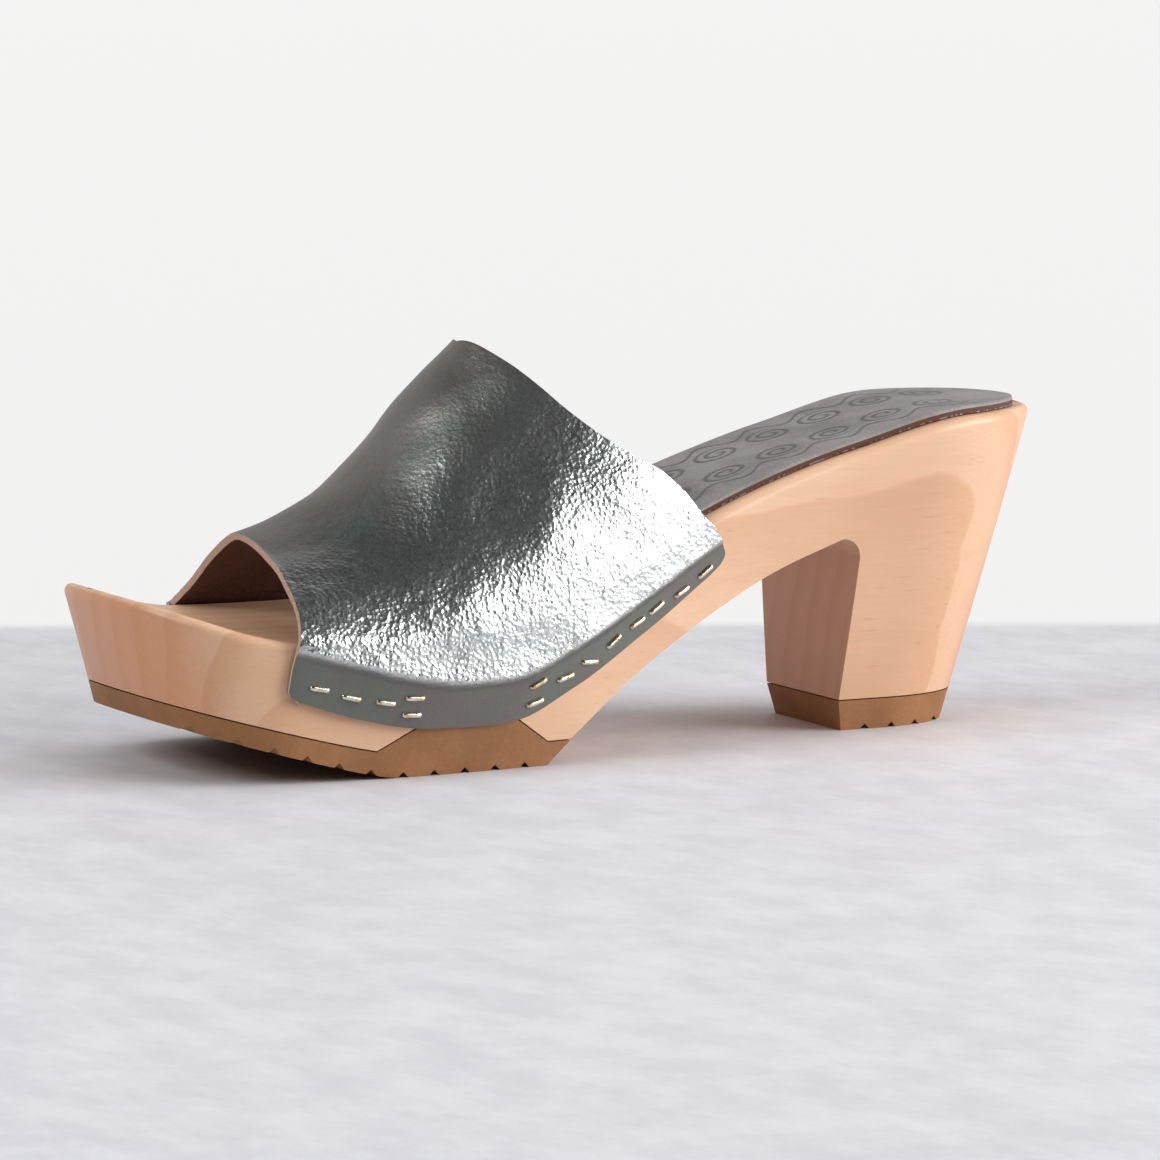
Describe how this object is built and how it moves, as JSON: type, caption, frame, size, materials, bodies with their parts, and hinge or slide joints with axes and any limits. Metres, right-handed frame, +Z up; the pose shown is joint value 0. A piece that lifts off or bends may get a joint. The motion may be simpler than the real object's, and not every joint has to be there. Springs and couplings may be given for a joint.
{
  "type": "heeled clog mule, left shoe",
  "caption": "Left peep-toe clog mule: one-piece metallic leather band stapled to a heeled wooden sole with a leather sock, rubber tread and a rubber flex wedge.",
  "frame": {"origin": "on the floor under the centre of the shoe's bounding box", "axes": "toe towards -Y, heel towards +Y, the wearer's left (the outer side of this left shoe) towards +X, +Z up"},
  "size_m": [0.0868, 0.2335, 0.0916],
  "materials": {
    "wood": "sanded pale alder with a thin satin lacquer",
    "rubber": "matt tan-brown sole rubber",
    "upper_leather": "gunmetal foil leather with a fine crackle, raw cut edges",
    "sock_leather": "matt grey sock leather with a pressed motif",
    "staple_wire": "bright flat staple wire"
  },
  "bodies": {
    "root": {"wood_heel_block": "wood", "wood_toe_block": "wood", "tread_forefoot": "rubber", "tread_heel": "rubber", "upper": "upper_leather", "insole": "sock_leather"}
  },
  "joints": []
}
